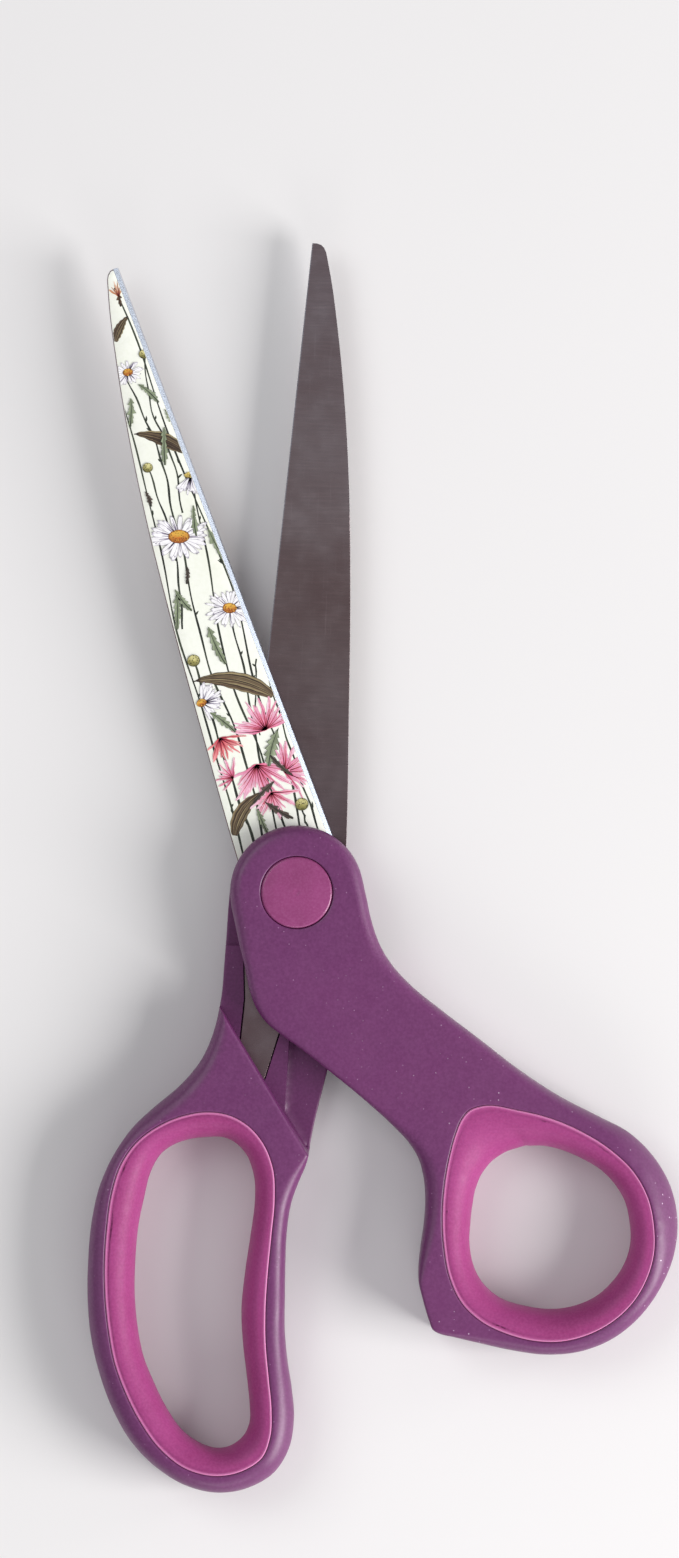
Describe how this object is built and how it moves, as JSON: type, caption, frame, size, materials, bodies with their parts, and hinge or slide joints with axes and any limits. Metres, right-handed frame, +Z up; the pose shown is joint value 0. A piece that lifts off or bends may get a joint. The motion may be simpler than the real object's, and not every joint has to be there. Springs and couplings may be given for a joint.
{
  "type": "craft scissors",
  "caption": "Straight-edged craft scissors with a bent handle, one large and one small soft-lined finger loop, blunt tips and a capped pivot.",
  "frame": {"origin": "on the pivot axis, in the plane the scissors lie on, at the middle of the pivot screw's flush head", "axes": "+Z up along the pivot axis, +Y along the lower (finger) blade from the pivot to its tip, scissors lying flat and opened by 18.3 degrees"},
  "size_m": [0.0972, 0.2024, 0.0113],
  "materials": {
    "blade_steel": "ground",
    "printed_steel": "gloss enamel with a printed meadow pattern",
    "handle_plastic": "satin",
    "soft_lining": "soft touch",
    "pivot_steel": "turned",
    "washer_nylon": "natural",
    "cap_plastic": "satin"
  },
  "bodies": {
    "finger_half": {"finger_blade": "blade_steel", "finger_handle": "handle_plastic", "finger_grip": "soft_lining", "pivot_screw": "pivot_steel", "thrust_washer": "washer_nylon", "spring_washer": "pivot_steel", "pivot_nut": "pivot_steel"},
    "thumb_half": {"thumb_blade": "printed_steel", "thumb_handle": "handle_plastic", "thumb_grip": "soft_lining", "pivot_cap": "cap_plastic"}
  },
  "joints": [
    {"name": "blade_pivot", "type": "hinge", "parent": "finger_half", "child": "thumb_half", "pos_m": [0, 0, 0.0055], "axis": [0, 0, 1], "range_deg": [-18.3, 98]}
  ]
}
